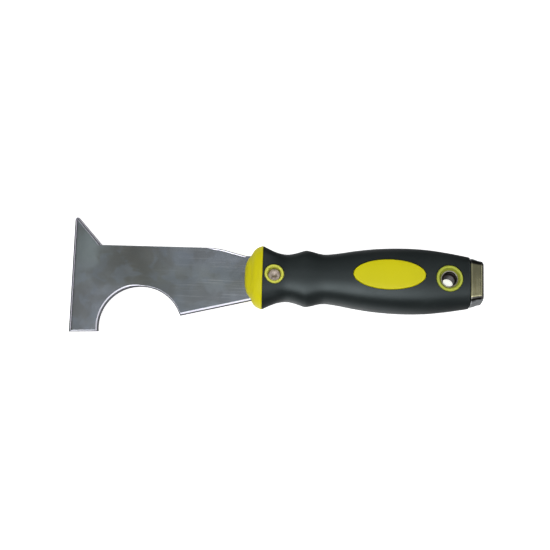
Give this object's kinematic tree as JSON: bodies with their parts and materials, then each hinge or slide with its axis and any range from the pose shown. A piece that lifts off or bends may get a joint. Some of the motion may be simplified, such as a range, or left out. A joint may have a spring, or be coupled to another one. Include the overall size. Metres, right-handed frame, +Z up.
{
  "type": "multi-use putty knife",
  "caption": "Painter's multi-use putty knife: full-tang steel scraper blade with spike and roller notch, riveted two-colour soft-grip handle, steel striking cap and hang hole.",
  "frame": {"origin": "on the surface the tool lies on, under the middle of its bounding box", "axes": "+X runs along the tool from the scraping edge to the striking cap, +Y across the blade towards the spike, +Z up through the tool's thickness, towards the side the blade's bevels are ground on"},
  "size_m": [0.215, 0.0616, 0.0234],
  "materials": {
    "polished_steel": "polished carbon steel with ground bevels and fine lengthwise scratches",
    "yellow_plastic": "semi-gloss moulded polypropylene",
    "black_rubber": "satin thermoplastic rubber with a very fine moulded texture",
    "chromed_steel": "bright chrome plate",
    "nickel_plate": "nickel-plated steel"
  },
  "bodies": {
    "root": {"blade": "polished_steel", "core_shell_upper": "yellow_plastic", "core_shell_lower": "yellow_plastic", "grip_sleeve": "black_rubber", "striking_cap": "chromed_steel", "rivet_socket": "nickel_plate", "rivet_post": "nickel_plate", "hang_ferrule_upper": "nickel_plate", "hang_ferrule_lower": "nickel_plate"}
  },
  "joints": []
}
